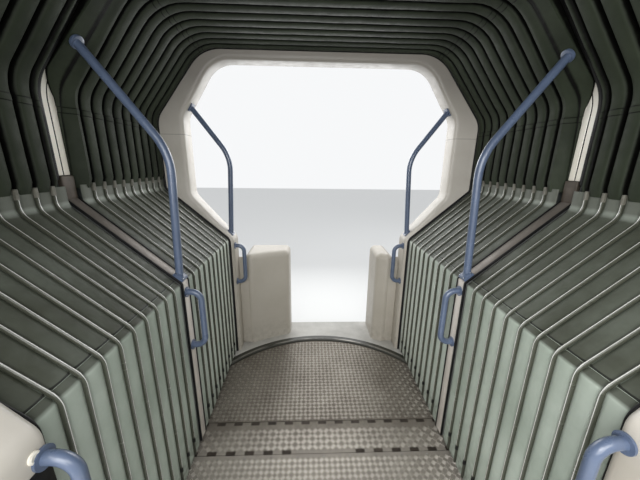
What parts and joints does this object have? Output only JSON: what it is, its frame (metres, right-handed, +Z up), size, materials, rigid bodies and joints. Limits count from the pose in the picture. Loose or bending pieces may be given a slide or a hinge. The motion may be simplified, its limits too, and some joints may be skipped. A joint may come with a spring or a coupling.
{
  "type": "articulated bus gangway joint with bellows",
  "caption": "Walk-through gangway joint of an articulated bus: folding bellows on hoops, middle frame, portals, turntable floor, grab rails and slewing ring.",
  "frame": {"origin": "centre of the front mounting flange, on its outer face", "axes": "+Y along the bus from the front section to the rear one, +X to the right, +Z up"},
  "size_m": [2.486, 2.09, 2.608],
  "materials": {
    "frame_aluminium": "satin extruded aluminium",
    "hoop_aluminium": "bare aluminium profile",
    "cover_aluminium": "grey anodised cover strip",
    "white_moulding": "off-white moulded plastic, fine texture",
    "cream_plastic": "cream plastic strip",
    "blue_rail": "steel blue coated tube",
    "chassis_steel": "black chassis paint",
    "race_steel": "machined steel ring",
    "tread_plate": "worn chequer plate",
    "hinge_steel": "worn steel hinge",
    "outer_fabric": "coated bellows fabric, grey",
    "inner_fabric": "coated bellows fabric, grey-green",
    "black_rubber": "black rubber edging",
    "grey_vinyl": "grey vinyl floor",
    "dark_sill": "dark rubber nosing",
    "damper_black": "black painted cylinder",
    "rod_chrome": "ground and plated rod"
  },
  "bodies": {
    "root": {"front_end_frame": "frame_aluminium", "front_portal_lining": "white_moulding", "front_grab_handles": "blue_rail", "front_joint_frame": "chassis_steel", "ring_inner_race": "race_steel", "centre_post": "chassis_steel", "floor_carrier": "chassis_steel", "front_floor_plate": "tread_plate", "link_plate": "tread_plate", "turning_plate": "tread_plate", "plate_hinges": "hinge_steel", "outer_bellows_front": "outer_fabric", "inner_bellows_front": "inner_fabric"},
    "middle": {"middle_frame": "frame_aluminium", "middle_frame_cover": "cover_aluminium", "middle_edge_seals": "black_rubber", "middle_wall_strips": "cream_plastic", "middle_crossbeam": "chassis_steel", "middle_grab_poles": "blue_rail", "middle_grab_handles": "blue_rail"},
    "rear": {"rear_end_frame": "frame_aluminium", "rear_portal_lining": "white_moulding", "rear_grab_handles": "blue_rail", "rear_grab_poles": "blue_rail", "rear_floor": "grey_vinyl", "rear_sill": "dark_sill", "rear_side_box_left": "white_moulding", "rear_side_box_right": "white_moulding", "rear_joint_frame": "chassis_steel", "ring_outer_race": "race_steel", "outer_bellows_rear": "outer_fabric", "inner_bellows_rear": "inner_fabric"},
    "hoop_01": {"hoop_01": "hoop_aluminium"},
    "hoop_02": {"hoop_02": "hoop_aluminium"},
    "hoop_03": {"hoop_03": "hoop_aluminium"},
    "hoop_04": {"hoop_04": "hoop_aluminium"},
    "hoop_05": {"hoop_05": "hoop_aluminium"},
    "hoop_06": {"hoop_06": "hoop_aluminium"},
    "hoop_07": {"hoop_07": "hoop_aluminium"},
    "hoop_08": {"hoop_08": "hoop_aluminium"},
    "hoop_09": {"hoop_09": "hoop_aluminium"},
    "hoop_11": {"hoop_11": "hoop_aluminium"},
    "hoop_12": {"hoop_12": "hoop_aluminium"},
    "hoop_13": {"hoop_13": "hoop_aluminium"},
    "hoop_14": {"hoop_14": "hoop_aluminium"},
    "hoop_15": {"hoop_15": "hoop_aluminium"},
    "hoop_16": {"hoop_16": "hoop_aluminium"},
    "hoop_17": {"hoop_17": "hoop_aluminium"},
    "hoop_18": {"hoop_18": "hoop_aluminium"},
    "hoop_19": {"hoop_19": "hoop_aluminium"},
    "damper_barrel_left": {"damper_barrel_left": "damper_black"},
    "damper_rod_left": {"damper_rod_left": "rod_chrome"},
    "damper_barrel_right": {"damper_barrel_right": "damper_black"},
    "damper_rod_right": {"damper_rod_right": "rod_chrome"}
  },
  "joints": [
    {"name": "turntable_yaw", "type": "hinge", "parent": "root", "child": "rear", "pos_m": [0, 0.83, 0.165], "axis": [0, 0, 1], "range_deg": [-50, 50], "deforming": ["outer_bellows_front", "inner_bellows_front", "outer_bellows_rear", "inner_bellows_rear"]},
    {"name": "middle_follow", "type": "hinge", "parent": "root", "child": "middle", "pos_m": [0, 0.83, 0.165], "axis": [0, 0, 1], "range_deg": [-25.05, 25.05]},
    {"name": "hoop_01_follow", "type": "hinge", "parent": "root", "child": "hoop_01", "pos_m": [0, 0.83, 0.165], "axis": [0, 0, 1], "range_deg": [-2.55, 2.55]},
    {"name": "hoop_02_follow", "type": "hinge", "parent": "root", "child": "hoop_02", "pos_m": [0, 0.83, 0.165], "axis": [0, 0, 1], "range_deg": [-5.05, 5.05]},
    {"name": "hoop_03_follow", "type": "hinge", "parent": "root", "child": "hoop_03", "pos_m": [0, 0.83, 0.165], "axis": [0, 0, 1], "range_deg": [-7.55, 7.55]},
    {"name": "hoop_04_follow", "type": "hinge", "parent": "root", "child": "hoop_04", "pos_m": [0, 0.83, 0.165], "axis": [0, 0, 1], "range_deg": [-10.05, 10.05]},
    {"name": "hoop_05_follow", "type": "hinge", "parent": "root", "child": "hoop_05", "pos_m": [0, 0.83, 0.165], "axis": [0, 0, 1], "range_deg": [-12.55, 12.55]},
    {"name": "hoop_06_follow", "type": "hinge", "parent": "root", "child": "hoop_06", "pos_m": [0, 0.83, 0.165], "axis": [0, 0, 1], "range_deg": [-15.05, 15.05]},
    {"name": "hoop_07_follow", "type": "hinge", "parent": "root", "child": "hoop_07", "pos_m": [0, 0.83, 0.165], "axis": [0, 0, 1], "range_deg": [-17.55, 17.55]},
    {"name": "hoop_08_follow", "type": "hinge", "parent": "root", "child": "hoop_08", "pos_m": [0, 0.83, 0.165], "axis": [0, 0, 1], "range_deg": [-20.05, 20.05]},
    {"name": "hoop_09_follow", "type": "hinge", "parent": "root", "child": "hoop_09", "pos_m": [0, 0.83, 0.165], "axis": [0, 0, 1], "range_deg": [-22.55, 22.55]},
    {"name": "hoop_11_follow", "type": "hinge", "parent": "root", "child": "hoop_11", "pos_m": [0, 0.83, 0.165], "axis": [0, 0, 1], "range_deg": [-27.55, 27.55]},
    {"name": "hoop_12_follow", "type": "hinge", "parent": "root", "child": "hoop_12", "pos_m": [0, 0.83, 0.165], "axis": [0, 0, 1], "range_deg": [-30.05, 30.05]},
    {"name": "hoop_13_follow", "type": "hinge", "parent": "root", "child": "hoop_13", "pos_m": [0, 0.83, 0.165], "axis": [0, 0, 1], "range_deg": [-32.55, 32.55]},
    {"name": "hoop_14_follow", "type": "hinge", "parent": "root", "child": "hoop_14", "pos_m": [0, 0.83, 0.165], "axis": [0, 0, 1], "range_deg": [-35.05, 35.05]},
    {"name": "hoop_15_follow", "type": "hinge", "parent": "root", "child": "hoop_15", "pos_m": [0, 0.83, 0.165], "axis": [0, 0, 1], "range_deg": [-37.55, 37.55]},
    {"name": "hoop_16_follow", "type": "hinge", "parent": "root", "child": "hoop_16", "pos_m": [0, 0.83, 0.165], "axis": [0, 0, 1], "range_deg": [-40.05, 40.05]},
    {"name": "hoop_17_follow", "type": "hinge", "parent": "root", "child": "hoop_17", "pos_m": [0, 0.83, 0.165], "axis": [0, 0, 1], "range_deg": [-42.55, 42.55]},
    {"name": "hoop_18_follow", "type": "hinge", "parent": "root", "child": "hoop_18", "pos_m": [0, 0.83, 0.165], "axis": [0, 0, 1], "range_deg": [-45.05, 45.05]},
    {"name": "hoop_19_follow", "type": "hinge", "parent": "root", "child": "hoop_19", "pos_m": [0, 0.83, 0.165], "axis": [0, 0, 1], "range_deg": [-47.55, 47.55]},
    {"name": "damper_swing_left", "type": "hinge", "parent": "root", "child": "damper_barrel_left", "pos_m": [-0.25, 0.21, -0.045], "axis": [0, 0, 1], "range_deg": [-2, 2]},
    {"name": "damper_stroke_left", "type": "slide", "parent": "damper_barrel_left", "child": "damper_rod_left", "axis": [0.1592, 0.9872, 0], "range_m": [-0.12, 0.12]},
    {"name": "damper_swing_right", "type": "hinge", "parent": "root", "child": "damper_barrel_right", "pos_m": [0.25, 0.21, -0.045], "axis": [0, 0, 1], "range_deg": [-2, 2]},
    {"name": "damper_stroke_right", "type": "slide", "parent": "damper_barrel_right", "child": "damper_rod_right", "axis": [-0.1592, 0.9872, 0], "range_m": [-0.12, 0.12]}
  ],
  "couplings": [
    {"joint": "middle_follow", "follows": "turntable_yaw", "ratio": 0.5},
    {"joint": "hoop_01_follow", "follows": "turntable_yaw", "ratio": 0.05},
    {"joint": "hoop_02_follow", "follows": "turntable_yaw", "ratio": 0.1},
    {"joint": "hoop_03_follow", "follows": "turntable_yaw", "ratio": 0.15},
    {"joint": "hoop_04_follow", "follows": "turntable_yaw", "ratio": 0.2},
    {"joint": "hoop_05_follow", "follows": "turntable_yaw", "ratio": 0.25},
    {"joint": "hoop_06_follow", "follows": "turntable_yaw", "ratio": 0.3},
    {"joint": "hoop_07_follow", "follows": "turntable_yaw", "ratio": 0.35},
    {"joint": "hoop_08_follow", "follows": "turntable_yaw", "ratio": 0.4},
    {"joint": "hoop_09_follow", "follows": "turntable_yaw", "ratio": 0.45},
    {"joint": "hoop_11_follow", "follows": "turntable_yaw", "ratio": 0.55},
    {"joint": "hoop_12_follow", "follows": "turntable_yaw", "ratio": 0.6},
    {"joint": "hoop_13_follow", "follows": "turntable_yaw", "ratio": 0.65},
    {"joint": "hoop_14_follow", "follows": "turntable_yaw", "ratio": 0.7},
    {"joint": "hoop_15_follow", "follows": "turntable_yaw", "ratio": 0.75},
    {"joint": "hoop_16_follow", "follows": "turntable_yaw", "ratio": 0.8},
    {"joint": "hoop_17_follow", "follows": "turntable_yaw", "ratio": 0.85},
    {"joint": "hoop_18_follow", "follows": "turntable_yaw", "ratio": 0.9},
    {"joint": "hoop_19_follow", "follows": "turntable_yaw", "ratio": 0.95},
    {"joint": "damper_swing_left", "follows": "turntable_yaw", "ratio": -0.034},
    {"joint": "damper_stroke_left", "follows": "turntable_yaw", "m_per_rad": -0.13},
    {"joint": "damper_swing_right", "follows": "turntable_yaw", "ratio": -0.034},
    {"joint": "damper_stroke_right", "follows": "turntable_yaw", "m_per_rad": 0.13}
  ]
}
